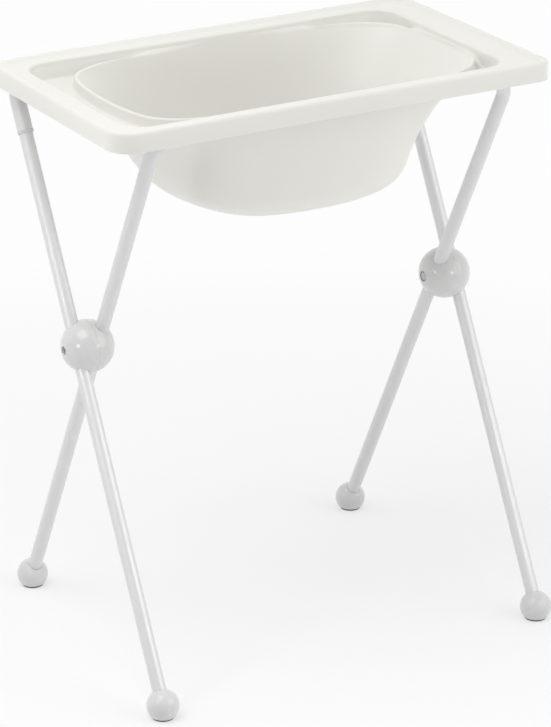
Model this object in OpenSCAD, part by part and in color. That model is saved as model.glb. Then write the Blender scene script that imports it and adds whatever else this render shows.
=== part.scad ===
// Baby bath tub on a folding X-leg tube stand.
// X runs along the tub (foot end at -X, head end at +X), Z is up, the floor is z = 0 and the
// origin lies under the middle of the rim. Two crossed frames turn on a pin in each hub ball:
// the inner frame holds the front crossbar, the outer frame the rear one.

/* [Stand] */
// Height of the hub pins above the floor
hub_z = 517; // [480:1:560]
// Lean of every leg from the vertical, in degrees
leg_tilt = 27.8; // [25:0.1:29]
// Distance from the hub pin up the inner leg to the front crossbar
upper_len = 437.5; // [415:0.5:460]
// Distance from the middle to each hub ball
hub_x = 325; // [315:1:330]
// Distance between the inner and the outer tube in each hub ball
tube_pitch = 35; // [33:0.5:38]
// Outer diameter of the leg tubes
tube_d = 22; // [20:0.5:24]
// Wall of the leg tubes
tube_wall = 1.5; // [1:0.1:2]
// Wall of the rear crossbar and its sleeves
bar_wall = 1.4; // [1:0.1:2]
// Play between a leg and the sleeve round it, on the radius
sleeve_play = 0.1; // [0.05:0.01:0.2]
// Centre line radius of the bends beside the crossbars
bend_r = 44; // [38:1:52]
// Straight length of each sleeve below its bend
sleeve_len = 46; // [36:1:70]
// Angle left between the two frames when folded flat
closed_angle = 5; // [5:0.5:12]

/* [Sleeve fittings] */
// Outer diameter of the ring under each sleeve
collar_d = 26.5; // [26:0.5:32]
// Height of the ring under each sleeve
collar_h = 5; // [4:0.5:12]
// Diameter of the spring button
button_d = 7; // [5:0.5:8]
// How far the spring button stands out of the sleeve
button_out = 2; // [1:0.25:3]
// Distance of the spring button above the sleeve's lower end
button_up = 22; // [16:1:30]
// Thickness of the button's leaf spring
leaf_t = 0.8; // [0.6:0.1:1.2]
// Width of the button's leaf spring
leaf_w = 9; // [8:0.5:11]
// Length of the button's leaf spring
leaf_len = 34; // [28:1:40]

/* [Hub balls] */
// Diameter of the hub balls
hub_d = 84; // [80:1:90]
// Gap between the two halves of a hub ball
hub_gap = 0.3; // [0.3:0.1:1]
// Diameter of the pivot pin's shank
pin_d = 8; // [6:0.5:10]
// Running clearance of the pivot pin, on the radius
pin_play = 0.08; // [0.05:0.01:0.1]
// Diameter of the pivot pin's head
head_d = 13; // [11:0.5:16]
// Thickness of the pivot pin's head
head_h = 4.4; // [3:0.1:6]
// Socket across flats in the pivot pin's head
socket_af = 5; // [4:0.5:6]
// Nut across flats
nut_af = 13; // [12:0.5:14]
// Nut thickness
nut_h = 5.5; // [4:0.1:6]
// Washer outer diameter
washer_d = 16; // [14:0.5:18]
// Washer thickness
washer_h = 1.6; // [1:0.1:2]
// Room round the pin's head, nut and washer in their recesses
recess_play = 0.5; // [0.3:0.1:1]
// Material between a leg tube and the recess beside it
recess_floor = 4.5; // [3.5:0.1:6]
// Radius of the fold stop from the pin
stop_r = 29; // [24:0.5:32]
// Diameter of the fold stop's lug
stop_d = 7; // [5:0.5:8]
// Length of the fold stop's lug
stop_len = 4; // [3:0.1:4.4]
// Clearance of the lug in its slot
stop_play = 0.4; // [0.3:0.1:0.8]

/* [Feet] */
// Diameter of the foot balls
foot_d = 51; // [46:1:56]
// Height of a foot ball's centre above the floor
foot_z = 20; // [18:0.5:22]
// Height of a foot ball's flat above the floor
foot_flat = 3; // [2.5:0.5:4]
// Distance of the leg's end above the foot ball's centre
foot_bore_up = 2; // [0:0.5:6]
// Diameter of the floor pads
pad_d = 35; // [30:1:36]
// Thickness of the floor pads
pad_h = 5; // [4.5:0.5:6]
// Diameter of the floor pad's peg
peg_d = 8; // [6:0.5:10]
// Length of the floor pad's peg
peg_len = 7; // [4:0.5:8]
// Fit of a pushed-in piece, on the radius
push_play = 0.05; // [0.02:0.01:0.1]

/* [Tub] */
// Length of the tub over its rim
tub_l = 754; // [740:1:780]
// Wall of the tub
tub_wall = 3; // [2.5:0.1:3.5]
// Height that the rim lip stands above the deck
lip_h = 4.7; // [3:0.1:6]
// Width of the rim lip
lip_w = 16; // [12:0.5:18]
// Corner radius of the rim in plan at the foot end
rim_r = 38; // [30:1:60]
// Corner radius of the rim in plan at the head end
head_r = 22; // [20:1:40]
// Radius of the rim's outer edge, between its top and the skirt
rim_round = 7; // [4:0.5:8]
// Depth of the skirt below the rim lip
skirt_h = 30.5; // [28:0.5:40]
// Gap under the deck over the crossbars
seat_gap = 0.3; // [0.2:0.1:1]
// Gap between the rear crossbar and the skirt
skirt_gap = 1.2; // [0.8:0.1:3]
// Gap between the rear crossbar and the bowl's rim
bowl_gap = 4.8; // [3.5:0.1:7]
// Distance from the rim's foot end to the tray
tray_in = 41; // [36:0.5:46]
// Distance from the rim's head end to the bowl's end wall
head_in = 59; // [54:0.5:66]
// Corner radius of the tray and the end wall in plan
tray_r = 40; // [30:1:50]
// Depth of the tray below the deck
tray_depth = 25.3; // [18:0.1:28]
// How far the tray's long sides lie inside the deck's edge
tray_inset = 8; // [6:0.5:12]
// Distance from the rim's foot end to the bowl's lip
bowl_in = 91; // [86:0.5:98]
// Height of the bead at the foot end above the bowl's lip
bead_h = 4.5; // [2:0.1:6]
// Depth from the deck to the bowl's lip
lip_drop = 13.3; // [10:0.1:16]
// Depth of the bowl from its lip to the underside of its floor
bowl_depth = 189; // [150:1:220]
// Radius of the bowl's lower edge
bowl_r = 40; // [30:1:48]
// Half width of the bowl at floor level
floor_b = 152; // [135:1:165]
// Reach of the bowl's floor toward the foot end
floor_foot = 140; // [130:0.5:190]
// Reach of the bowl's floor toward the head end
floor_head = 212.5; // [180:0.5:240]

/* [Hidden] */
$fn = 64;
e = 0.01;
// colours
shell = [0.93, 0.93, 0.89];
paint = [0.87, 0.88, 0.89];
grey = [0.80, 0.80, 0.80];
steel = [0.70, 0.71, 0.73];
rubber = [0.16, 0.16, 0.17];
// stand
bar_d = tube_d + 2 * sleeve_play + 2 * bar_wall;
inner_x = hub_x - tube_pitch / 2;
outer_x = hub_x + tube_pitch / 2;
foot_down = (hub_z - foot_z) / cos(leg_tilt);
leg_end = foot_down - foot_bore_up;
seat_z = hub_z + upper_len * cos(leg_tilt) + tube_d / 2;
bar_up = (seat_z - bar_d / 2 - hub_z) / cos(leg_tilt);
bar_y = bar_up * sin(leg_tilt);
sleeve_top = bar_up - bend_r;
sleeve_end = sleeve_top - sleeve_len;
button_s = sleeve_end + button_up;
fold = 2 * leg_tilt - closed_angle;
// hub recesses, measured along X on the +X side
head_seat = outer_x + tube_d / 2 + recess_floor;
nut_seat = inner_x - tube_d / 2 - recess_floor;
stop_slot = stop_d + 2 * stop_play;
slot_end = asin(stop_slot / 2 / stop_r);
stop_from = 200;
// tub heights
deck_z = seat_z + seat_gap + tub_wall;
rim_z = deck_z + lip_h;
skirt_z = rim_z - skirt_h;
lip_z = deck_z - lip_drop;
bowl_z = lip_z - bowl_depth;
tray_z = deck_z - tray_depth;
roll_r = 2 * tub_wall;
// tub half sizes: rim, deck edge and bowl lip
cx = 5;
rim_a = tub_l / 2;
rim_b = bar_y + bar_d / 2 + skirt_gap + tub_wall;
edge_b = bar_y - bar_d / 2 - bowl_gap - tub_wall;
edge_foot = rim_a - tray_in;
edge_head = rim_a - head_in;
lip_b = edge_b - 1;
lip_foot = rim_a - bowl_in;
lip_head = edge_head - 2.5;

// ---------- placing ----------

// Draws for the right side, or mirrored for the left
module on_side(s) {
    mirror([s < 0 ? 1 : 0, 0, 0]) children();
}

// Local Z runs up the legs from the hub pins: f = 1 for the inner frame, -1 for the outer
module in_frame(f) {
    translate([0, 0, hub_z]) rotate([f * leg_tilt, 0, 0]) children();
}

// A rod along X between two places
module rod_x(d, x0, x1) {
    translate([x0, 0, 0]) rotate([0, 90, 0]) cylinder(d = d, h = x1 - x0);
}

// ---------- tubes ----------

// A crossbar at height up with a bend and a straight leg down to low at each end
module bent_rod(d, half, up, low) {
    translate([0, 0, up]) rod_x(d, bend_r - half, half - bend_r);
    for (s = [-1, 1]) on_side(s) {
        translate([half - bend_r, 0, up - bend_r]) rotate([90, 0, 0])
            rotate_extrude(angle = 90) translate([bend_r, 0]) circle(d = d);
        translate([half, 0, low]) cylinder(d = d, h = up - bend_r - low);
    }
}

module inner_frame_tube() {
    color(paint) in_frame(1) difference() {
        bent_rod(tube_d, inner_x, upper_len, -leg_end);
        bent_rod(tube_d - 2 * tube_wall, inner_x, upper_len, -leg_end - 1);
        for (s = [-1, 1]) on_side(s) rod_x(pin_d + 2 * pin_play, inner_x - tube_d, inner_x + tube_d);
    }
}

module outer_crossbar() {
    color(paint) in_frame(-1) difference() {
        bent_rod(bar_d, outer_x, bar_up, sleeve_end);
        bent_rod(bar_d - 2 * bar_wall, outer_x, bar_up, sleeve_end - 1);
        for (s = [-1, 1]) on_side(s) translate([outer_x, 0, button_s]) button_hole();
    }
}

// The hole runs out through the rear wall only, square to the leg
module button_hole() {
    rotate([-90, 0, 0]) cylinder(d = button_d + 4 * push_play, h = bar_d);
}

module outer_leg(s) {
    color(paint) in_frame(-1) on_side(s) difference() {
        translate([outer_x, 0, -leg_end]) cylinder(d = tube_d, h = leg_end + sleeve_top);
        translate([outer_x, 0, -leg_end - 1])
            cylinder(d = tube_d - 2 * tube_wall, h = leg_end + sleeve_top + 2);
        rod_x(pin_d + 2 * push_play, outer_x - tube_d, outer_x + tube_d);
        translate([outer_x, 0, button_s]) button_hole();
    }
}

// ---------- sleeve fittings ----------

module sleeve_collar(s) {
    color(grey) in_frame(-1) on_side(s) translate([outer_x, 0, sleeve_end - collar_h])
        difference() {
            cylinder(d = collar_d, h = collar_h);
            translate([0, 0, -1]) cylinder(d = tube_d + 2 * push_play, h = collar_h + 2);
        }
}

// A round button on one arm of a folded leaf spring inside the leg
module snap_button(s) {
    reach = bar_d / 2 + button_out - button_d / 2;
    arm = tube_d / 2 - tube_wall - 2;
    color(steel) in_frame(-1) on_side(s) translate([outer_x, 0, button_s]) {
        rotate([-90, 0, 0]) translate([0, 0, arm - e]) {
            cylinder(d = button_d, h = reach - arm + e);
            translate([0, 0, reach - arm]) intersection() {
                sphere(d = button_d);
                cylinder(d = button_d, h = button_d);
            }
        }
        translate([-leaf_w / 2, 0, 0]) rotate([90, 0, 90]) linear_extrude(leaf_w) polygon([
            [arm, leaf_w / 2], [arm, leaf_w / 2 - leaf_len], [-arm, leaf_w / 2 - 2],
            [-arm + leaf_t, leaf_w / 2 - 2], [arm - leaf_t, leaf_w / 2 - leaf_len + 6 * leaf_t],
            [arm - leaf_t, leaf_w / 2]]);
    }
}

// ---------- hub balls ----------

// The half of a ball inside the plane x = hub_x, or its mirror image outside it
module half_ball(outside) {
    translate([hub_x, 0, 0]) mirror([outside ? 1 : 0, 0, 0]) intersection() {
        sphere(d = hub_d);
        translate([-(hub_gap + hub_d) / 2, 0, 0]) cube([hub_d, 2 * hub_d, 2 * hub_d], center = true);
    }
}

module hub_outer_half(s) {
    face_x = hub_x + hub_gap / 2;
    color(grey) in_frame(-1) on_side(s) difference() {
        union() {
            half_ball(true);
            rotate([stop_from + leg_tilt, 0, 0]) translate([0, stop_r, 0])
                rod_x(stop_d, face_x - stop_len, face_x + stop_len);
        }
        translate([outer_x, 0, -hub_d]) cylinder(d = tube_d + 2 * push_play, h = 2 * hub_d);
        rod_x(pin_d + 2 * push_play, hub_x - 1, hub_x + hub_d);
        rod_x(head_d + 2 * recess_play, head_seat, hub_x + hub_d);
    }
}

module hub_inner_half(s) {
    slot_x = hub_x - hub_gap / 2 - stop_len - stop_play + hub_gap;
    color(grey) in_frame(1) on_side(s) difference() {
        half_ball(false);
        translate([inner_x, 0, -hub_d]) cylinder(d = tube_d + 2 * push_play, h = 2 * hub_d);
        rod_x(pin_d + 2 * pin_play, hub_x - hub_d, hub_x + 1);
        rod_x(washer_d + 2 * recess_play, hub_x - hub_d, nut_seat);
        // slot that the stop's lug sweeps when the frames fold
        rotate([stop_from - leg_tilt - slot_end, 0, 0]) translate([slot_x, 0, 0]) rotate([90, 0, 90])
            rotate_extrude(angle = fold + 2 * slot_end)
                translate([stop_r - stop_slot / 2, 0]) square([stop_slot, stop_len + 2]);
    }
}

module pivot_bolt(s) {
    tail = nut_seat - washer_h - nut_h;
    color(steel) in_frame(-1) on_side(s) difference() {
        union() {
            rod_x(pin_d, tail, head_seat + e);
            rod_x(head_d, head_seat, head_seat + head_h);
        }
        translate([head_seat + head_h - socket_af / 2, 0, 0]) rotate([0, 90, 0])
            cylinder(d = socket_af / cos(30), h = socket_af, $fn = 6);
    }
}

module pivot_nut(s) {
    color(steel) in_frame(-1) on_side(s) translate([nut_seat - washer_h - nut_h, 0, 0]) rotate([0, 90, 0])
        difference() {
            cylinder(d = nut_af / cos(30), h = nut_h, $fn = 6);
            translate([0, 0, -1]) cylinder(d = pin_d + e, h = nut_h + 2);
        }
}

module pivot_washer(s) {
    color(steel) in_frame(-1) on_side(s) translate([nut_seat - washer_h, 0, 0]) rotate([0, 90, 0])
        difference() {
            cylinder(d = washer_d, h = washer_h - 0.1);
            translate([0, 0, -1]) cylinder(d = pin_d + 2 * pin_play, h = washer_h + 2);
        }
}

// ---------- feet ----------

// Puts its children at a foot ball's centre with Z upright
module at_foot(f, s) {
    x = f > 0 ? inner_x : outer_x;
    on_side(s) translate([x, f * foot_down * sin(leg_tilt), foot_z]) children();
}

module foot(f, s) {
    color(grey) at_foot(f, s) difference() {
        sphere(d = foot_d);
        rotate([f * leg_tilt, 0, 0]) translate([0, 0, foot_bore_up])
            cylinder(d = tube_d + 2 * push_play, h = foot_d);
        translate([-foot_d, -foot_d, -2 * foot_d - foot_z + foot_flat]) cube(2 * foot_d);
        translate([0, 0, -foot_z]) cylinder(d = pad_d + 2 * push_play, h = pad_h);
        translate([0, 0, -foot_z]) cylinder(d = peg_d + 2 * push_play, h = pad_h + peg_len + 0.3);
    }
}

module pad(f, s) {
    color(rubber) at_foot(f, s) translate([0, 0, -foot_z]) {
        cylinder(d = pad_d, h = pad_h);
        cylinder(d = peg_d, h = pad_h + peg_len);
    }
}

// ---------- tub ----------

// Directions in which the tub's cross-sections are taken, closest at the rim's corners
quarter = [0, 6, 12, 17, 21, 24, 26, 27.5, 28.5, 29.5, 30.5, 31.5, 33, 36, 41, 49, 61, 75];
dirs = [for (q = [0:3]) for (i = [0:len(quarter) - 1])
    90 * q + (q % 2 == 0 || i == 0 ? quarter[i] : 90 - quarter[len(quarter) - i])];

// Reach in direction t of a rectangle with rounded corners, from the point cx on the X axis
function box_reach(t, foot, head, b, r) =
    let (c = abs(cos(t)), s = abs(sin(t)), a = cos(t) > 0 ? head - cx : foot + cx,
        m = (a - r) * c + (b - r) * s)
    a * s <= (b - r) * c ? a / c
    : b * c <= (a - r) * s ? b / s
    : m + sqrt(m * m - pow(a - r, 2) - pow(b - r, 2) + r * r);

// Reach in direction t of two crossed ovals, each as wide as bulge times the other, blended by power n
function oval_reach(t, a, b, n, bulge = [0, 0]) =
    pow(pow(norm([cos(t) / a, bulge[0] * sin(t) / b]), n)
        + pow(norm([bulge[1] * cos(t) / a, sin(t) / b]), n), -1 / n);

function mix(a, b, t) = a * (1 - t) + b * t;
function ease(t) = let (u = min(max(t, 0), 1)) u * u * (3 - 2 * u);
function rim_reach(t, o) = box_reach(t, rim_a + o, rim_a + o, rim_b + o, (cos(t) > 0 ? head_r : rim_r) + o);
function edge_reach(t, o) = box_reach(t, edge_foot + o, edge_head + o, edge_b + o, tray_r + o);
function tray_reach(t, o) = box_reach(t, edge_foot + o, edge_head + o, edge_b - tray_inset + o, tray_r + o);

// Reach of the bowl in direction t at the share h of its height, o = 0 inside and tub_wall outside.
// The foot end is a gently curved wall with tighter corners.
function bowl_reach(t, h, o) =
    let (r = bowl_r - tub_wall + o, k = min(h * bowl_depth / r, 1), drop = r * (1 - sqrt(1 - pow(1 - k, 2))),
        b = mix(floor_b - tub_wall, lip_b, h) + o - drop)
    cos(t) > 0
    ? oval_reach(t, mix(floor_head - tub_wall, lip_head, pow(h, 1.75)) - cx + o - drop, b,
        mix(2.4, 3.2, pow(h, 3)))
    : oval_reach(t, mix(floor_foot - tub_wall, lip_foot, pow(h, 0.59)) + cx + o - drop, b,
        12, [mix(0.73, 0.42, pow(h, 6)), 0.65]);

// Shares of the height at the rounded lower edge, and up the wall to the share top
function edge_levels(r) = [for (a = [0:18:72]) r / bowl_depth * (1 - cos(a))];
function wall_levels(r, top) =
    [for (k = [0, 0.25, 0.5, 0.72, 0.88, 1]) mix(r / bowl_depth, top, k)];

// Cross-section of the tub in direction t as [reach, height], from under the floor to its top
function section(t) = let (
        lip = bowl_reach(t, 1, 0),
        tray = ease((edge_reach(t, 0) - lip - 8) / 16),
        gap = mix(edge_reach(t, 0), tray_reach(t, 0), tray) - lip,
        join = (mix(lip_z, tray_z - 7, tray) - bowl_z) / bowl_depth,
        wall = bowl_reach(t, join, tub_wall),
        outer = mix(edge_reach(t, tub_wall), tray_reach(t, tub_wall), tray),
        room = outer - wall,
        inner_r = bowl_r - tub_wall
    ) concat(
        [for (h = edge_levels(bowl_r)) [bowl_reach(t, h, tub_wall), bowl_z + h * bowl_depth]],
        [for (h = wall_levels(bowl_r, join)) [bowl_reach(t, h, tub_wall), bowl_z + h * bowl_depth]],
        [
            [wall + min(3, 0.3 * room), mix(lip_z + 3, tray_z - tub_wall - 0.5, tray)],
            [outer - min(3, 0.3 * room), mix(lip_z + 5.4, tray_z - tub_wall, tray)],
            [outer, mix(lip_z + 6.6, tray_z, tray)],
            [edge_reach(t, tub_wall) + 0.1, deck_z - roll_r],
            [edge_reach(t, tub_wall + 0.9), deck_z - tub_wall - 0.9],
            [edge_reach(t, roll_r), deck_z - tub_wall],
            [rim_reach(t, -tub_wall - rim_round / 2), deck_z - tub_wall],
            [rim_reach(t, -tub_wall), deck_z - tub_wall - rim_round / 2],
            [rim_reach(t, -tub_wall), skirt_z],
            [rim_reach(t, 0), skirt_z],
            each [for (a = [0:30:90])
                [rim_reach(t, rim_round * (cos(a) - 1)), rim_z - rim_round * (1 - sin(a))]],
            [rim_reach(t, 7 - lip_w), rim_z],
            [rim_reach(t, -lip_w), deck_z],
            [edge_reach(t, roll_r), deck_z],
            [edge_reach(t, 1.8), deck_z - 1.8],
            [edge_reach(t, 0), deck_z - roll_r],
            [lip + gap - min(0.8, 0.1 * gap), mix(lip_z + 6, tray_z + 2.5, tray)],
            [lip + gap - min(3.5, 0.3 * gap), mix(lip_z + 5, tray_z, tray)],
            [lip + min(11, 0.45 * gap), mix(lip_z + 3.8, tray_z + 0.5, tray)],
            [lip + min(8.5, 0.3 * gap), mix(lip_z + 2.6, lip_z + 1, tray)],
            [lip + min(4.5, 0.15 * gap), mix(lip_z + 1.3, lip_z + bead_h, tray)]
        ],
        [for (k = [5:-1:0]) let (h = wall_levels(inner_r, 1)[k])
            [bowl_reach(t, h, 0), bowl_z + tub_wall + h * (bowl_depth - tub_wall)]],
        [for (k = [4:-1:0]) let (h = edge_levels(inner_r)[k])
            [bowl_reach(t, h, 0), bowl_z + tub_wall + h * (bowl_depth - tub_wall)]]
    );

module bath_tub() {
    n = len(dirs);
    rings = [for (t = dirs) section(t)];
    m = len(rings[0]);
    points = concat(
        [for (i = [0:n - 1]) for (p = rings[i]) [cx + p[0] * cos(dirs[i]), p[0] * sin(dirs[i]), p[1]]],
        [[cx, 0, bowl_z], [cx, 0, bowl_z + tub_wall]]);
    faces = concat(
        [for (i = [0:n - 1]) [n * m, i * m, (i + 1) % n * m]],
        [for (i = [0:n - 1]) for (j = [0:m - 2])
            let (a = i * m + j, b = (i + 1) % n * m + j) each [[a, a + 1, b + 1], [a, b + 1, b]]],
        [for (i = [0:n - 1]) [n * m + 1, (i + 1) % n * m + m - 1, i * m + m - 1]]);
    color(shell) polyhedron(points, faces);
}

bath_tub();
inner_frame_tube();
outer_crossbar();
outer_leg(-1);  // outer_left_leg
outer_leg(1);  // outer_right_leg
sleeve_collar(-1);  // left_sleeve_collar
sleeve_collar(1);  // right_sleeve_collar
snap_button(-1);  // left_snap_button
snap_button(1);  // right_snap_button
hub_outer_half(-1);  // left_hub_outer_half
hub_inner_half(-1);  // left_hub_inner_half
hub_outer_half(1);  // right_hub_outer_half
hub_inner_half(1);  // right_hub_inner_half
pivot_bolt(-1);  // left_pivot_bolt
pivot_bolt(1);  // right_pivot_bolt
pivot_nut(-1);  // left_pivot_nut
pivot_nut(1);  // right_pivot_nut
pivot_washer(-1);  // left_pivot_washer
pivot_washer(1);  // right_pivot_washer
foot(1, -1);  // inner_left_foot
foot(1, 1);  // inner_right_foot
foot(-1, -1);  // outer_left_foot
foot(-1, 1);  // outer_right_foot
pad(1, -1);  // inner_left_pad
pad(1, 1);  // inner_right_pad
pad(-1, -1);  // outer_left_pad
pad(-1, 1);  // outer_right_pad
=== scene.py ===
import math

import bmesh
import bpy
from mathutils import Matrix, Vector


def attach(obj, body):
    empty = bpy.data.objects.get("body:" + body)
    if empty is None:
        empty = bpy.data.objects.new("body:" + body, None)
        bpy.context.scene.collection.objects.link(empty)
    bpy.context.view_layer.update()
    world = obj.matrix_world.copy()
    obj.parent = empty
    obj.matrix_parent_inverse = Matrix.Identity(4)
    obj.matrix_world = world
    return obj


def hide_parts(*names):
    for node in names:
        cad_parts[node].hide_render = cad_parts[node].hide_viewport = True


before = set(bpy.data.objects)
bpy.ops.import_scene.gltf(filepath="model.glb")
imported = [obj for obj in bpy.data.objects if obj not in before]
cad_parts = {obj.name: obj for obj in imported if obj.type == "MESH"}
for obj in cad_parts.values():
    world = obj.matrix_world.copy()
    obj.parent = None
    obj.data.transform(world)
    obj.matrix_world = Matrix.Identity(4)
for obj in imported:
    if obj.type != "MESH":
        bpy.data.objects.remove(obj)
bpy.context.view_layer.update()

# ---------------------------------------------------------------- sizes, in metres

MM = 0.001
HUB_Z = 517 * MM
TILT = math.radians(27.8)
UPPER = 437.5 * MM
HUB_X = 325 * MM
PITCH = 35 * MM
TUBE_D = 22 * MM
BAR_D = 25 * MM
BEND = 44 * MM
SLEEVE = 46 * MM
COLLAR_D = 26.5 * MM
COLLAR_H = 5 * MM
COLLAR_ROUND = 0.8 * MM
LEG_IN_SLEEVE = 40 * MM
HUB_D = 84 * MM
# the gap between the hub halves is finer than the CAD's, because no line shows in the photograph
HUB_GAP = 0.1 * MM
PIN_BORE = 8.16 * MM
HEAD_RECESS = 14 * MM
WASHER_RECESS = 17 * MM
RECESS_FLOOR = 4.5 * MM
TUBE_PLAY = 0.1 * MM
FOOT_D = 51 * MM
FOOT_Z = 20 * MM
FOOT_FLAT = 3 * MM
PAD_D = 35 * MM
PAD_H = 5 * MM
PEG_D = 8 * MM
PEG_LEN = 7 * MM
TREAD = 0.8 * MM

INNER_X = HUB_X - PITCH / 2
OUTER_X = HUB_X + PITCH / 2
FOOT_DOWN = (HUB_Z - FOOT_Z) / math.cos(TILT)
SEAT_Z = HUB_Z + UPPER * math.cos(TILT) + TUBE_D / 2
BAR_UP = (SEAT_Z - BAR_D / 2 - HUB_Z) / math.cos(TILT)
BAR_Y = BAR_UP * math.sin(TILT)
SLEEVE_END = BAR_UP - BEND - SLEEVE
LEG_END = -(FOOT_DOWN - 3 * MM)
SIDES = {"left": -1, "right": 1}

# steps round the turned pieces, and along the outlines of the balls
TURN_STEPS = 96
HUB_STEPS = 128
RING_STEPS = 72
HUB_ARC_STEPS = 40
FOOT_ARC_STEPS = 56


def in_frame(turn):
    """Local Z runs up the legs from the hub pins. Turn is 1 for the inner frame and -1 for the outer."""
    return Matrix.Translation((0, 0, HUB_Z)) @ Matrix.Rotation(turn * TILT, 4, "X")


# ---------------------------------------------------------------- camera

CAMERA_PLACE = (-2.4382, -4.2683, 2.3878)
# radians: yaw from +Y towards +X, pitch downwards
CAMERA_YAW, CAMERA_PITCH, CAMERA_ROLL = 0.5204, 0.3804, 0.0036
SENSOR = 36
FOCAL_PIXELS = 3322.7
PICTURE_WIDTH = 551


def set_camera():
    """The photograph's own viewpoint, found from the object's lines in it."""
    level = math.cos(CAMERA_PITCH)
    ahead = Vector((math.sin(CAMERA_YAW) * level, math.cos(CAMERA_YAW) * level, -math.sin(CAMERA_PITCH)))
    side = Vector((math.cos(CAMERA_YAW), -math.sin(CAMERA_YAW), 0))
    under = ahead.cross(side)
    right = math.cos(CAMERA_ROLL) * side + math.sin(CAMERA_ROLL) * under
    down = -math.sin(CAMERA_ROLL) * side + math.cos(CAMERA_ROLL) * under
    data = bpy.data.cameras.new("camera")
    data.sensor_fit = "HORIZONTAL"
    data.sensor_width = SENSOR
    data.lens = SENSOR * FOCAL_PIXELS / PICTURE_WIDTH
    data.clip_end = 60
    camera = bpy.data.objects.new("camera", data)
    turn = Matrix((right, -down, -ahead)).transposed().to_4x4()
    camera.matrix_world = Matrix.Translation(CAMERA_PLACE) @ turn
    bpy.context.scene.collection.objects.link(camera)
    bpy.context.scene.camera = camera


# ---------------------------------------------------------------- finishes

RANGE_SOCKETS = ("From Min", "From Max", "To Min", "To Max")


class Finish:
    """A material with a Principled shader and short ways to add to it."""

    def __init__(self, name, colour, roughness, **settings):
        self.made = bpy.data.materials.new(name)
        self.made.use_nodes = True
        self.nodes = self.made.node_tree.nodes
        self.shader = self.nodes["Principled BSDF"]
        self.shader.inputs["Base Color"].default_value = (*colour, 1)
        self.shader.inputs["Roughness"].default_value = roughness
        for socket, value in settings.items():
            self.shader.inputs[socket.replace("_", " ")].default_value = value
        self.place = self.add("ShaderNodeTexCoord").outputs["Object"]

    def add(self, kind, **settings):
        node = self.nodes.new(kind)
        for name, value in settings.items():
            setattr(node, name, value)
        return node

    def join(self, start, end):
        self.made.node_tree.links.new(start, end)

    def noise(self, scale, detail):
        node = self.add("ShaderNodeTexNoise")
        node.inputs["Scale"].default_value = scale
        node.inputs["Detail"].default_value = detail
        self.join(self.place, node.inputs["Vector"])
        return node.outputs["Fac"]

    def spread(self, value, low, high, to_low, to_high):
        """Value, carried from the range low to high to the range to_low to to_high."""
        node = self.add("ShaderNodeMapRange")
        for socket, number in zip(RANGE_SOCKETS, (low, high, to_low, to_high)):
            node.inputs[socket].default_value = number
        self.join(value, node.inputs["Value"])
        return node.outputs["Result"]

    def blend_colours(self, factor, first, second):
        node = self.add("ShaderNodeMix", data_type="RGBA")
        node.inputs["A"].default_value = (*first, 1)
        node.inputs["B"].default_value = (*second, 1)
        self.join(factor, node.inputs["Factor"])
        return node.outputs["Result"]

    def bump(self, height, distance, strength):
        node = self.add("ShaderNodeBump")
        node.inputs["Distance"].default_value = distance
        node.inputs["Strength"].default_value = strength
        self.join(height, node.inputs["Height"])
        return node.outputs["Normal"]

    def feed(self, output, socket):
        self.join(output, self.shader.inputs[socket])


def moulded_tub():
    """Off-white tub plastic with the faint orange peel of a glossy mould."""
    finish = Finish("moulded_tub_plastic", (0.78, 0.77, 0.73), 0.4, Specular_IOR_Level=0.3)
    patches = finish.spread(finish.noise(3.0, 3.0), 0.3, 0.7, 0, 1)
    finish.feed(finish.blend_colours(patches, (0.77, 0.763, 0.72), (0.79, 0.783, 0.742)), "Base Color")
    finish.feed(finish.spread(finish.noise(40.0, 3.0), 0.3, 0.7, 0.37, 0.43), "Roughness")
    finish.feed(finish.bump(finish.noise(420.0, 1.0), 0.00004, 0.35), "Normal")
    return finish.made


def painted_tube():
    """Powder-coated tube: pale silver grey with a fine sparkle and grain."""
    finish = Finish("powder_coated_tube", (0.70, 0.70, 0.71), 0.36, Metallic=0.2, Specular_IOR_Level=0.5)
    flakes = finish.spread(finish.noise(1800.0, 1.0), 0.35, 0.65, 0, 1)
    finish.feed(finish.blend_colours(flakes, (0.66, 0.66, 0.67), (0.75, 0.75, 0.76)), "Base Color")
    finish.feed(finish.spread(finish.noise(60.0, 3.0), 0.3, 0.7, 0.31, 0.41), "Roughness")
    finish.feed(finish.bump(finish.noise(900.0, 2.0), 0.00003, 0.3), "Normal")
    return finish.made


def grey_plastic():
    """Semi-gloss moulded grey plastic of the hub and foot balls."""
    finish = Finish("grey_moulded_plastic", (0.65, 0.65, 0.65), 0.14, Specular_IOR_Level=0.5)
    patches = finish.spread(finish.noise(25.0, 3.0), 0.3, 0.7, 0, 1)
    finish.feed(finish.blend_colours(patches, (0.64, 0.64, 0.64), (0.67, 0.67, 0.665)), "Base Color")
    finish.feed(finish.spread(finish.noise(90.0, 3.0), 0.3, 0.7, 0.11, 0.17), "Roughness")
    finish.feed(finish.bump(finish.noise(700.0, 1.0), 0.00002, 0.3), "Normal")
    return finish.made


def zinc_steel():
    """Zinc-plated steel of the pins, nuts, washers and spring buttons."""
    finish = Finish("zinc_plated_steel", (0.44, 0.45, 0.47), 0.35, Metallic=1.0)
    finish.feed(finish.spread(finish.noise(500.0, 3.0), 0.3, 0.7, 0.24, 0.4), "Roughness")
    finish.feed(finish.bump(finish.noise(1500.0, 2.0), 0.00002, 0.4), "Normal")
    return finish.made


def pad_rubber():
    """Matt dark rubber of the floor pads."""
    finish = Finish("floor_pad_rubber", (0.03, 0.03, 0.032), 0.75, Specular_IOR_Level=0.3)
    finish.feed(finish.spread(finish.noise(300.0, 3.0), 0.3, 0.7, 0.68, 0.85), "Roughness")
    finish.feed(finish.bump(finish.noise(1200.0, 3.0), 0.00008, 0.5), "Normal")
    return finish.made


# ---------------------------------------------------------------- mesh helpers

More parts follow.
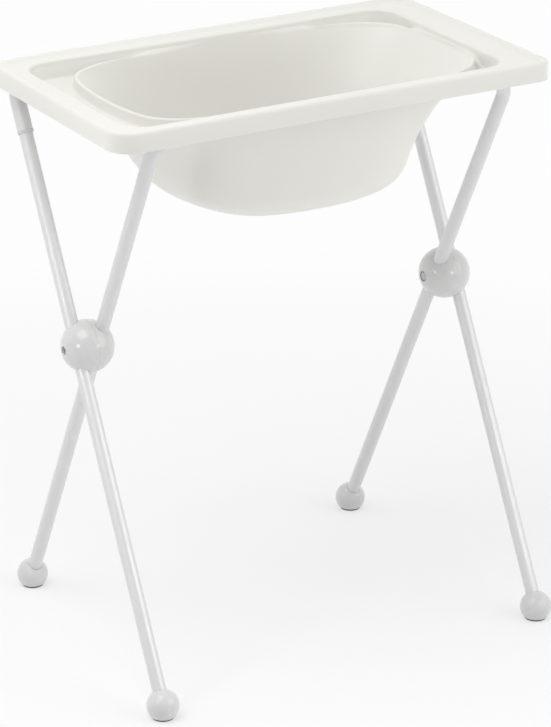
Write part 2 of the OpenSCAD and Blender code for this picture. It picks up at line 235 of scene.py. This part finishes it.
def add_piece(name, mesh, finish, body, node):
    """Puts a finished mesh in the scene, on its body and in place of its CAD node."""
    mesh.materials.clear()
    mesh.materials.append(finish)
    piece = bpy.data.objects.new(name, mesh)
    bpy.context.scene.collection.objects.link(piece)
    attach(piece, body)
    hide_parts(node)


def smooth(mesh, sharp_above=40):
    """Shades a mesh smooth, and keeps edges sharp where two faces meet at more than so many degrees."""
    work = bmesh.new()
    work.from_mesh(mesh)
    for face in work.faces:
        face.smooth = True
    for edge in work.edges:
        if len(edge.link_faces) == 2 and edge.calc_face_angle(0) > math.radians(sharp_above):
            edge.smooth = False
    work.to_mesh(mesh)
    work.free()
    return mesh


def turned(name, outline, matrix, steps=TURN_STEPS):
    """A solid turned on a lathe. Outline is a list of (radius, height), and a radius of 0 is a pole."""
    work = bmesh.new()
    rings = []
    for radius, height in outline:
        if radius < 1e-7:
            rings.append([work.verts.new((0, 0, height))])
        else:
            rings.append([work.verts.new((radius * math.cos(a), radius * math.sin(a), height))
                          for a in (2 * math.pi * i / steps for i in range(steps))])
    for low, high in zip(rings, rings[1:]):
        for i in range(steps):
            j = (i + 1) % steps
            if len(low) == 1:
                work.faces.new((low[0], high[j], high[i]))
            elif len(high) == 1:
                work.faces.new((low[i], low[j], high[0]))
            else:
                work.faces.new((low[i], low[j], high[j], high[i]))
    work.transform(matrix)
    bmesh.ops.recalc_face_normals(work, faces=work.faces)
    mesh = bpy.data.meshes.new(name)
    work.to_mesh(mesh)
    work.free()
    return mesh


def ball_outline(radius, start, end, steps):
    """Points of a ball's outline as (radius, height), angles in degrees up from its equator."""
    turns = [math.radians(start + (end - start) * i / steps) for i in range(steps + 1)]
    return [(radius * math.cos(a), radius * math.sin(a)) for a in turns]


# ---------------------------------------------------------------- the tub, in millimetres

TUB_L = 754.0
WALL = 3.0
LIP_H = 4.7
LIP_W = 16.0
RIM_R = 38.0
HEAD_R = 22.0
RIM_ROUND = 7.0
SKIRT_H = 30.5
TRAY_R = 40.0
TRAY_DEPTH = 25.3
TRAY_INSET = 8.0
BEAD_H = 4.5
LIP_DROP = 13.3
BOWL_DEPTH = 189.0
BOWL_R = 40.0
FLOOR_B = 152.0
FLOOR_FOOT = 140.0
FLOOR_HEAD = 212.5
SEAT_GAP = 0.3
SKIRT_GAP = 1.2
BOWL_GAP = 4.8
TRAY_IN = 41
HEAD_IN = 59
BOWL_IN = 91
# room between the bowl's lip and the deck's edge where the tray begins, and the room over which it grows
TRAY_FROM, TRAY_OVER = 8, 16
# middle of the bowl, from which the tub's sections reach out
CX = 5.0

DECK_Z = SEAT_Z / MM + SEAT_GAP + WALL
RIM_Z = DECK_Z + LIP_H
SKIRT_Z = RIM_Z - SKIRT_H
LIP_Z = DECK_Z - LIP_DROP
BOWL_Z = LIP_Z - BOWL_DEPTH
TRAY_Z = DECK_Z - TRAY_DEPTH
ROLL = 2 * WALL
RIM_A = TUB_L / 2
RIM_B = (BAR_Y + BAR_D / 2) / MM + SKIRT_GAP + WALL
EDGE_B = (BAR_Y - BAR_D / 2) / MM - BOWL_GAP - WALL
EDGE_FOOT = RIM_A - TRAY_IN
EDGE_HEAD = RIM_A - HEAD_IN
LIP_B = EDGE_B - 1
LIP_FOOT = RIM_A - BOWL_IN
LIP_HEAD = EDGE_HEAD - 2.5


def mix(a, b, t):
    return a * (1 - t) + b * t


def ease(t):
    u = min(max(t, 0.0), 1.0)
    return u * u * (3 - 2 * u)


def box_reach(t, foot, head, b, r):
    """Reach in direction t of a rectangle with rounded corners, from the point CX on the X axis."""
    c, s = abs(math.cos(t)), abs(math.sin(t))
    a = head - CX if math.cos(t) > 0 else foot + CX
    m = (a - r) * c + (b - r) * s
    if a * s <= (b - r) * c:
        return a / c
    if b * c <= (a - r) * s:
        return b / s
    return m + math.sqrt(m * m - (a - r) ** 2 - (b - r) ** 2 + r * r)


def oval_reach(t, a, b, n, bulge=(0, 0)):
    """Reach in direction t of an oval of power n, made fuller between its axes where bulge isn't 0."""
    c, s = math.cos(t), math.sin(t)
    return (math.hypot(c / a, bulge[0] * s / b) ** n + math.hypot(bulge[1] * c / a, s / b) ** n) ** (-1 / n)


def rim_reach(t, o):
    """Reach of the rim's outer side, moved out by o."""
    return box_reach(t, RIM_A + o, RIM_A + o, RIM_B + o, (HEAD_R if math.cos(t) > 0 else RIM_R) + o)


def edge_reach(t, o):
    """Reach of the deck's inner edge, moved out by o."""
    return box_reach(t, EDGE_FOOT + o, EDGE_HEAD + o, EDGE_B + o, TRAY_R + o)


def tray_reach(t, o):
    """Reach of the tray's wall, moved out by o."""
    return box_reach(t, EDGE_FOOT + o, EDGE_HEAD + o, EDGE_B - TRAY_INSET + o, TRAY_R + o)


def bowl_reach(t, h, o):
    """Reach of the bowl at the share h of its height, o = 0 inside and WALL outside."""
    r = BOWL_R - WALL + o
    k = min(h * BOWL_DEPTH / r, 1.0)
    drop = r * (1 - math.sqrt(max(1 - (1 - k) ** 2, 0.0)))
    b = mix(FLOOR_B - WALL, LIP_B, h) + o - drop
    if math.cos(t) > 0:
        head = mix(FLOOR_HEAD - WALL, LIP_HEAD, h ** 1.75) - CX + o - drop
        return oval_reach(t, head, b, mix(2.4, 3.2, h ** 3))
    foot = mix(FLOOR_FOOT - WALL, LIP_FOOT, h ** 0.59) + CX + o - drop
    return oval_reach(t, foot, b, 12, (mix(0.73, 0.42, h ** 6), 0.65))


def edge_levels(r, steps=10):
    """Levels up the rounded edge of the bowl's floor, as shares of its height."""
    return [r / BOWL_DEPTH * (1 - math.cos(math.pi / 2 * i / steps)) for i in range(steps)]


def wall_levels(r, top, steps=22):
    """Levels up the bowl's wall to top, closer near the top."""
    return [mix(r / BOWL_DEPTH, top, 1 - (1 - i / steps) ** 1.35) for i in range(steps + 1)]


def rounded(corners, steps=5):
    """Corners is a list of (reach, height, rounding): each is replaced by a soft bend of that size."""
    out = []
    for i, (r, z, cut) in enumerate(corners):
        here = Vector((r, z))
        if cut <= 0 or i in (0, len(corners) - 1):
            out.append((r, z))
            continue
        back, on = Vector(corners[i - 1][:2]) - here, Vector(corners[i + 1][:2]) - here
        first = here + back * min(cut, 0.48 * back.length) / max(back.length, 1e-9)
        last = here + on * min(cut, 0.48 * on.length) / max(on.length, 1e-9)
        for k in range(steps + 1):
            u = k / steps
            p = first * (1 - u) ** 2 + here * 2 * u * (1 - u) + last * u * u
            out.append((p.x, p.y))
    return out


def section(t):
    """The tub's cross-section in direction t, from under the bowl's floor to the top of it."""
    lip = bowl_reach(t, 1, 0)
    tray = ease((edge_reach(t, 0) - lip - TRAY_FROM) / TRAY_OVER)
    gap = mix(edge_reach(t, 0), tray_reach(t, 0), tray) - lip
    join = (mix(LIP_Z, TRAY_Z - 7, tray) - BOWL_Z) / BOWL_DEPTH
    wall = bowl_reach(t, join, WALL)
    outer = mix(edge_reach(t, WALL), tray_reach(t, WALL), tray)
    room = outer - wall
    inner_r = BOWL_R - WALL
    under = [(bowl_reach(t, h, WALL), BOWL_Z + h * BOWL_DEPTH)
             for h in edge_levels(BOWL_R) + wall_levels(BOWL_R, join)]
    # each corner is a reach, a height and the size of its rounding
    corners = [
        (*under[-1], 0),
        (wall + min(1.5, 0.15 * room), mix(LIP_Z + 3, TRAY_Z - WALL, tray), 3),
        (outer - min(0.6, 0.1 * room), mix(LIP_Z + 6, TRAY_Z - WALL, tray), 3),
        (edge_reach(t, WALL) + 0.1, DECK_Z - ROLL, 2),
        (edge_reach(t, WALL + 0.9), DECK_Z - WALL, 2),
        (rim_reach(t, -WALL), DECK_Z - WALL, RIM_ROUND * 0.7),
        (rim_reach(t, -WALL), SKIRT_Z, 0.9),
        (rim_reach(t, 0), SKIRT_Z, 0.9),
        (rim_reach(t, 0), RIM_Z, RIM_ROUND * 1.06),
        (rim_reach(t, 7 - LIP_W), RIM_Z, 4),
        (rim_reach(t, -LIP_W), DECK_Z, 5),
        (edge_reach(t, 1.2), DECK_Z, 5),
        (edge_reach(t, 0), DECK_Z - ROLL - 1, 5),
        (lip + gap - min(0.8, 0.1 * gap), mix(LIP_Z + 5.5, TRAY_Z, tray), 3.5),
        (lip + min(11, 0.45 * gap), mix(LIP_Z + 3.8, TRAY_Z, tray), 3.5),
        (lip + min(8.2, 0.3 * gap), mix(LIP_Z + 2.4, LIP_Z + BEAD_H + 0.6, tray), 3.5),
        (lip + min(2.5, 0.12 * gap), mix(LIP_Z + 1.2, LIP_Z + BEAD_H + 0.6, tray), 3.5),
    ]
    inside = [(bowl_reach(t, h, 0), BOWL_Z + WALL + h * (BOWL_DEPTH - WALL))
              for h in reversed(edge_levels(inner_r) + wall_levels(inner_r, 1))]
    corners.append((*inside[0], 0))
    return under[:-1] + rounded(corners) + inside[1:]


CORNER_STEPS, LONG_STEPS, SHORT_STEPS = 20, 56, 30


def directions():
    """Directions of the cross-sections: evenly along the rim, closer round its corners."""
    points = []
    for side_x, side_y, turn in ((1, 1, 0), (-1, 1, 90), (-1, -1, 180), (1, -1, 270)):
        r = HEAD_R if side_x > 0 else RIM_R
        turns = [math.radians(turn + 90 * i / CORNER_STEPS) for i in range(CORNER_STEPS + 1)]
        points.append([(side_x * (RIM_A - r) + r * math.cos(a), side_y * (RIM_B - r) + r * math.sin(a))
                       for a in turns])
    out = []
    for corner, following, steps in zip(points, points[1:] + points[:1], (LONG_STEPS, SHORT_STEPS) * 2):
        out += corner
        start, end = corner[-1], following[0]
        out += [(mix(start[0], end[0], i / steps), mix(start[1], end[1], i / steps)) for i in range(1, steps)]
    return [math.atan2(y, x - CX) for x, y in out]


def tub_mesh():
    """The tub as one closed skin of sections side by side, with its floor closed in the middle."""
    work = bmesh.new()
    rings = [[work.verts.new(((CX + r * math.cos(t)) * MM, r * math.sin(t) * MM, z * MM))
              for r, z in section(t)] for t in directions()]
    for here, following in zip(rings, rings[1:] + rings[:1]):
        for j in range(len(here) - 1):
            work.faces.new((here[j], here[j + 1], following[j + 1], following[j]))
    for row, z in ((0, BOWL_Z), (-1, BOWL_Z + WALL)):
        centre = work.verts.new((CX * MM, 0, z * MM))
        for here, following in zip(rings, rings[1:] + rings[:1]):
            work.faces.new((here[row], following[row], centre))
    bmesh.ops.recalc_face_normals(work, faces=work.faces)
    mesh = bpy.data.meshes.new("bath_tub_shell")
    work.to_mesh(mesh)
    work.free()
    return smooth(mesh, 50)


# ---------------------------------------------------------------- tubes, made by geometry nodes

def tube_tree():
    """A tree that turns a path of straight runs into a bent tube."""
    tree = bpy.data.node_groups.new("bent_tube", "GeometryNodeTree")
    tree.interface.new_socket("Path", in_out="INPUT", socket_type="NodeSocketGeometry")
    for name, value in (("Tube diameter", TUBE_D), ("Bend radius", BEND)):
        tree.interface.new_socket(name, in_out="INPUT", socket_type="NodeSocketFloat").default_value = value
    tree.interface.new_socket("Finish", in_out="INPUT", socket_type="NodeSocketMaterial")
    tree.interface.new_socket("Tube", in_out="OUTPUT", socket_type="NodeSocketGeometry")
    given = tree.nodes.new("NodeGroupInput")
    out = tree.nodes.new("NodeGroupOutput")
    path = tree.nodes.new("GeometryNodeMeshToCurve")
    bend = tree.nodes.new("GeometryNodeFilletCurve")
    bend.mode = "POLY"
    bend.inputs["Count"].default_value = 24
    half = tree.nodes.new("ShaderNodeMath")
    half.operation = "MULTIPLY"
    half.inputs[1].default_value = 0.5
    ring = tree.nodes.new("GeometryNodeCurvePrimitiveCircle")
    ring.inputs["Resolution"].default_value = 64
    sweep = tree.nodes.new("GeometryNodeCurveToMesh")
    sweep.inputs["Fill Caps"].default_value = True
    shade = tree.nodes.new("GeometryNodeSetShadeSmooth")
    real = tree.nodes.new("GeometryNodeRealizeInstances")
    coat = tree.nodes.new("GeometryNodeSetMaterial")
    join = tree.links.new
    join(given.outputs["Path"], path.inputs["Mesh"])
    join(path.outputs["Curve"], bend.inputs["Curve"])
    join(given.outputs["Bend radius"], bend.inputs["Radius"])
    join(given.outputs["Tube diameter"], half.inputs[0])
    join(half.outputs[0], ring.inputs["Radius"])
    join(bend.outputs["Curve"], sweep.inputs["Curve"])
    join(ring.outputs["Curve"], sweep.inputs["Profile Curve"])
    join(sweep.outputs["Mesh"], shade.inputs["Geometry"])
    join(shade.outputs["Geometry"], real.inputs["Geometry"])
    join(real.outputs["Geometry"], coat.inputs["Geometry"])
    join(given.outputs["Finish"], coat.inputs["Material"])
    join(coat.outputs["Geometry"], out.inputs["Tube"])
    return tree


def set_input(modifier, name, value):
    """Sets a geometry nodes input by its socket's identifier."""
    for item in modifier.node_group.interface.items_tree:
        if item.item_type == "SOCKET" and item.in_out == "INPUT" and item.name == name:
            modifier[item.identifier] = value


def bent_tube(name, tree, corners, diameter, finish, matrix):
    """A tube along corners, given in a frame's own place, as a plain mesh."""
    line = bpy.data.meshes.new(name + "_path")
    line.from_pydata([matrix @ Vector(c) for c in corners], [(i, i + 1) for i in range(len(corners) - 1)], [])
    work = bpy.data.objects.new(name + "_path", line)
    bpy.context.scene.collection.objects.link(work)
    modifier = work.modifiers.new("bent_tube", "NODES")
    modifier.node_group = tree
    for socket, value in (("Tube diameter", diameter), ("Bend radius", BEND), ("Finish", finish)):
        set_input(modifier, socket, value)
    bpy.context.view_layer.update()
    ready = work.evaluated_get(bpy.context.evaluated_depsgraph_get())
    mesh = bpy.data.meshes.new_from_object(ready)
    mesh.name = name
    bpy.data.objects.remove(work)
    bpy.data.meshes.remove(line)
    return smooth(mesh)


# ---------------------------------------------------------------- hub balls and feet

DRILL_REACH = 60 * MM


def cut_bore(mesh, place, middle, along, radius):
    """Drills a round hole through a closed mesh: middle and along are given in the frame at place."""
    start, end = (place @ (Vector(middle) + share * DRILL_REACH * Vector(along)) for share in (-1, 1))
    line = end - start
    turn = line.to_track_quat("Z", "Y").to_matrix().to_4x4()
    drill_mesh = turned("drill", [(0, 0), (radius, 0), (radius, line.length), (0, line.length)],
                        Matrix.Translation(start) @ turn)
    drill = bpy.data.objects.new("drill", drill_mesh)
    work = bpy.data.objects.new("drilled", mesh)
    for o in (drill, work):
        bpy.context.scene.collection.objects.link(o)
    cut = work.modifiers.new("bore", "BOOLEAN")
    cut.operation = "DIFFERENCE"
    cut.solver = "EXACT"
    cut.object = drill
    bpy.context.view_layer.update()
    out = bpy.data.meshes.new_from_object(work.evaluated_get(bpy.context.evaluated_depsgraph_get()))
    out.name = mesh.name
    bpy.data.objects.remove(work)
    bpy.data.objects.remove(drill)
    bpy.data.meshes.remove(drill_mesh)
    return out


def pin_bore(mesh, side, turn):
    """Drills the pivot pin's hole through a hub half or a leg."""
    return cut_bore(mesh, in_frame(turn), (side * HUB_X, 0, 0), (1, 0, 0), PIN_BORE / 2)


MOUTH_ROUND = 0.4 * MM
FOOT_BORE_UP = 2 * MM


def hub_half(name, side, outside):
    """Half a hub ball, turned about the pin, with a rounded parting edge, a recess and a tube bore."""
    ball = HUB_D / 2
    flat = HUB_GAP / 2
    recess_r = (HEAD_RECESS if outside else WASHER_RECESS) / 2
    seat = PITCH / 2 + TUBE_D / 2 + RECESS_FLOOR
    edge = 0.1 * MM
    rim = math.degrees(math.asin((flat + edge) / ball))
    mouth = math.degrees(math.acos((recess_r + MOUTH_ROUND) / ball))
    outline = [(0, flat), (ball - 2.2 * edge, flat), (ball - 0.7 * edge, flat + 0.3 * edge)]
    outline += ball_outline(ball, rim, mouth, HUB_ARC_STEPS)
    top = math.sqrt(ball ** 2 - recess_r ** 2)
    outline += [(recess_r, top - MOUTH_ROUND), (recess_r, seat), (0, seat)]
    out = 1 if (side > 0) == outside else -1
    turn = -1 if outside else 1
    place = in_frame(turn)
    lie = Matrix.Translation((side * HUB_X, 0, 0)) @ Matrix.Rotation(out * math.pi / 2, 4, "Y")
    mesh = turned(name, outline, place @ lie, HUB_STEPS)
    x = side * (OUTER_X if outside else INNER_X)
    mesh = cut_bore(mesh, place, (x, 0, 0), (0, 0, 1), TUBE_D / 2 + TUBE_PLAY)
    return smooth(pin_bore(mesh, side, turn), 30)


def foot_place(side, turn, height):
    """The place at a height above the floor, in line with the centre of a foot ball."""
    x = side * (INNER_X if turn > 0 else OUTER_X)
    return Matrix.Translation((x, turn * FOOT_DOWN * math.sin(TILT), height))


def foot_ball(name, side, turn):
    """A foot ball turned about its leg, with a rounded mouth, cut flat over the floor pad."""
    ball = FOOT_D / 2
    bore = TUBE_D / 2 + TUBE_PLAY
    mouth = math.degrees(math.acos((bore + MOUTH_ROUND) / ball))
    outline = [(0, -ball)] + ball_outline(ball, -89, mouth, FOOT_ARC_STEPS)
    top = math.sqrt(ball ** 2 - bore ** 2)
    outline += [(bore + MOUTH_ROUND / 4, top - MOUTH_ROUND / 2), (bore, top - 1.25 * MOUTH_ROUND),
                (bore, FOOT_BORE_UP), (0, FOOT_BORE_UP)]
    mesh = turned(name, outline, foot_place(side, turn, FOOT_Z) @ Matrix.Rotation(turn * TILT, 4, "X"))
    work = bmesh.new()
    work.from_mesh(mesh)
    everything = work.verts[:] + work.edges[:] + work.faces[:]
    bmesh.ops.bisect_plane(work, geom=everything, plane_co=(0, 0, FOOT_FLAT), plane_no=(0, 0, -1),
                           clear_outer=True)
    bmesh.ops.holes_fill(work, edges=[e for e in work.edges if e.is_boundary])
    bmesh.ops.recalc_face_normals(work, faces=work.faces)
    work.to_mesh(mesh)
    work.free()
    return smooth(mesh, 30)


def floor_pad(name, side, turn):
    """A rubber pad with a peg, a rounded edge, and a hollow and a ring groove in its underside."""
    r, peg = PAD_D / 2, PEG_D / 2
    outline = [(0, TREAD), (0.004, TREAD), (0.0044, 0), (0.0085, 0), (0.0088, TREAD), (0.0104, TREAD),
               (0.0107, 0), (r - 0.001, 0), (r - 0.0003, 0.0003), (r, 0.001), (r, PAD_H - 0.0005),
               (r - 0.0005, PAD_H), (peg, PAD_H), (peg, PAD_H + PEG_LEN - 0.0005),
               (peg - 0.0005, PAD_H + PEG_LEN), (0, PAD_H + PEG_LEN)]
    return smooth(turned(name, outline, foot_place(side, turn, 0), RING_STEPS))


def collar(name, side):
    """The ring under a sleeve, with both outer edges rounded."""
    bore, out, low, high = TUBE_D / 2 + TUBE_PLAY, COLLAR_D / 2, SLEEVE_END - COLLAR_H, SLEEVE_END
    ring = [(bore, low), (out - COLLAR_ROUND, low), (out, low + COLLAR_ROUND), (out, high - COLLAR_ROUND),
            (out - COLLAR_ROUND, high), (bore, high), (bore, low)]
    place = in_frame(-1) @ Matrix.Translation((side * OUTER_X, 0, 0))
    return smooth(turned(name, ring, place, RING_STEPS))


# ---------------------------------------------------------------- building it

set_camera()
tub_finish, tube_finish, ball_finish = moulded_tub(), painted_tube(), grey_plastic()
steel_finish, rubber_finish = zinc_steel(), pad_rubber()

add_piece("tub_shell", tub_mesh(), tub_finish, "tub", "bath_tub")

tree = tube_tree()
inner_path = [(-INNER_X, 0, LEG_END), (-INNER_X, 0, UPPER), (INNER_X, 0, UPPER), (INNER_X, 0, LEG_END)]
inner_tube = bent_tube("inner_tube", tree, inner_path, TUBE_D, tube_finish, in_frame(1))
for side in SIDES.values():
    inner_tube = pin_bore(inner_tube, side, 1)
add_piece("inner_tube", smooth(inner_tube), tube_finish, "inner_frame", "inner_frame_tube")
bar_path = [(-OUTER_X, 0, SLEEVE_END), (-OUTER_X, 0, BAR_UP), (OUTER_X, 0, BAR_UP), (OUTER_X, 0, SLEEVE_END)]
add_piece("rear_bar", bent_tube("rear_bar", tree, bar_path, BAR_D, tube_finish, in_frame(-1)),
          tube_finish, "outer_frame", "outer_crossbar")

for word, side in SIDES.items():
    leg = [(side * OUTER_X, 0, LEG_END), (side * OUTER_X, 0, SLEEVE_END + LEG_IN_SLEEVE)]
    leg_tube = pin_bore(bent_tube(word + "_leg", tree, leg, TUBE_D, tube_finish, in_frame(-1)), side, -1)
    add_piece(word + "_leg", smooth(leg_tube), tube_finish, "outer_frame",
              "outer_" + word + "_leg")
    add_piece(word + "_collar", collar(word + "_collar", side), ball_finish,
              "outer_frame", word + "_sleeve_collar")
    add_piece(word + "_hub_outside", hub_half(word + "_hub_outside", side, True), ball_finish,
              "outer_frame", word + "_hub_outer_half")
    add_piece(word + "_hub_inside", hub_half(word + "_hub_inside", side, False), ball_finish,
              "inner_frame", word + "_hub_inner_half")
    for turn, which in ((1, "inner"), (-1, "outer")):
        ball, pad = f"{which}_{word}_ball", f"{which}_{word}_floor_pad"
        add_piece(ball, foot_ball(ball, side, turn), ball_finish, which + "_frame",
                  f"{which}_{word}_foot")
        add_piece(pad, floor_pad(pad, side, turn), rubber_finish, which + "_frame",
                  f"{which}_{word}_pad")

# the pins, nuts, washers and spring buttons keep the frame's shapes and get the steel finish
for name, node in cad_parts.items():
    if any(word in name for word in ("bolt", "nut", "washer", "button")):
        node.data.materials.clear()
        node.data.materials.append(steel_finish)


# ---------------------------------------------------------------- studio

# the white of the background, and then the share and the strength of the floor's own white,
# each near the object and far from it
BACKGROUND = 0.985
FLOOR_SHARE = (0.6, 1.0)
FLOOR_WHITE = (0.92, BACKGROUND)
FLOOR_NEAR, FLOOR_FAR = 0.4, 1.7
FLOOR_REACH = 12
# the room's light on its dim and its pale side, and the bearing of the dim side
ROOM_LIGHT = (0.12, 0.85)
DIM_SIDE = 38
DIM_FROM, DIM_FULL = 0.1, 0.85
LAMP_AIM = (0, 0, 0.55)
# name, bearing in degrees from -Y towards -X, reach, height, size and power
LAMPS = (("top_softbox", 80, 1.6, 3.6, 2.6, 50), ("left_softbox", 115, 2.8, 1.3, 2.2, 4),
         ("right_softbox", -42, 2.8, 1.7, 2.2, 18), ("left_lamp", 72, 1.8, 1.0, 0.4, 3.0),
         ("right_lamp", -14, 1.8, 1.0, 0.4, 2.8))


def seen_directly(nodes, join):
    """1 for what the camera, a reflection or a see-through piece shows, and 0 for light."""
    rays = nodes.new("ShaderNodeLightPath")
    total = rays.outputs["Is Camera Ray"]
    for ray in ("Is Glossy Ray", "Is Transmission Ray"):
        either = nodes.new("ShaderNodeMath")
        either.operation = "ADD"
        either.use_clamp = True
        join(total, either.inputs[0])
        join(rays.outputs[ray], either.inputs[1])
        total = either.outputs[0]
    return total


def pale_floor():
    """A near white floor. Part of its white is its own, and the rest takes the object's shadow."""
    mesh = bpy.data.meshes.new("studio_floor")
    corners = [(x * FLOOR_REACH, y * FLOOR_REACH, 0) for x, y in ((-1, -1), (1, -1), (1, 1), (-1, 1))]
    mesh.from_pydata(corners, [], [(0, 1, 2, 3)])
    floor = bpy.data.objects.new("studio_floor", mesh)
    bpy.context.scene.collection.objects.link(floor)
    finish = Finish("studio_floor", (0.92, 0.92, 0.92), 0.9, Specular_IOR_Level=0.1)
    white = finish.add("ShaderNodeEmission")
    both = finish.add("ShaderNodeMixShader")
    reach = finish.add("ShaderNodeVectorMath", operation="LENGTH")
    finish.join(finish.place, reach.inputs[0])
    share, strength = (finish.spread(reach.outputs["Value"], FLOOR_NEAR, FLOOR_FAR, *values)
                       for values in (FLOOR_SHARE, FLOOR_WHITE))
    seen = finish.add("ShaderNodeMath", operation="MULTIPLY")
    finish.join(seen_directly(finish.nodes, finish.join), seen.inputs[0])
    finish.join(share, seen.inputs[1])
    finish.join(seen.outputs["Value"], both.inputs["Fac"])
    finish.join(strength, white.inputs["Strength"])
    finish.join(finish.shader.outputs["BSDF"], both.inputs[1])
    finish.join(white.outputs["Emission"], both.inputs[2])
    finish.join(both.outputs["Shader"], finish.nodes["Material Output"].inputs["Surface"])
    mesh.materials.append(finish.made)


def bearing_line(degrees):
    """A level line of length 1 at a bearing, from -Y towards -X."""
    a = math.radians(degrees)
    return Vector((-math.sin(a), -math.cos(a), 0))


def lamp(name, place, size, power):
    """A round lamp that faces the object."""
    data = bpy.data.lights.new(name, "AREA")
    data.shape = "DISK"
    data.size = size
    data.energy = power
    light = bpy.data.objects.new(name, data)
    facing = (Vector(LAMP_AIM) - place).to_track_quat("-Z", "Y").to_matrix().to_4x4()
    light.matrix_world = Matrix.Translation(place) @ facing
    bpy.context.scene.collection.objects.link(light)


def studio_light():
    """A wide lamp above, wide ones at the sides and small ones near the camera, in a pale room."""
    for name, bearing, reach, height, size, power in LAMPS:
        place = reach * bearing_line(bearing)
        place.z = height
        lamp(name, place, size, power)
    world = bpy.data.worlds.new("room")
    bpy.context.scene.world = world
    world.use_nodes = True
    nodes, join = world.node_tree.nodes, world.node_tree.links.new
    nodes["Background"].inputs["Color"].default_value = (1, 1, 1, 1)
    # the room is dimmest behind the photographer and grows paler towards the far side
    place = nodes.new("ShaderNodeTexCoord")
    toward = nodes.new("ShaderNodeVectorMath")
    toward.operation = "DOT_PRODUCT"
    toward.inputs[1].default_value = bearing_line(DIM_SIDE)
    join(place.outputs["Generated"], toward.inputs[0])
    level = nodes.new("ShaderNodeMapRange")
    level.interpolation_type = "SMOOTHSTEP"
    for socket, number in zip(RANGE_SOCKETS, (DIM_FROM, DIM_FULL, ROOM_LIGHT[1], ROOM_LIGHT[0])):
        level.inputs[socket].default_value = number
    join(toward.outputs["Value"], level.inputs["Value"])
    join(level.outputs["Result"], nodes["Background"].inputs["Strength"])
    seen = nodes.new("ShaderNodeBackground")
    seen.inputs["Color"].default_value = (BACKGROUND, BACKGROUND, BACKGROUND, 1)
    seen.inputs["Strength"].default_value = 1.0
    blend = nodes.new("ShaderNodeMixShader")
    join(seen_directly(nodes, join), blend.inputs["Fac"])
    join(nodes["Background"].outputs["Background"], blend.inputs[1])
    join(seen.outputs["Background"], blend.inputs[2])
    join(blend.outputs["Shader"], nodes["World Output"].inputs["Surface"])


pale_floor()
studio_light()
bpy.context.scene.view_settings.view_transform = "Standard"
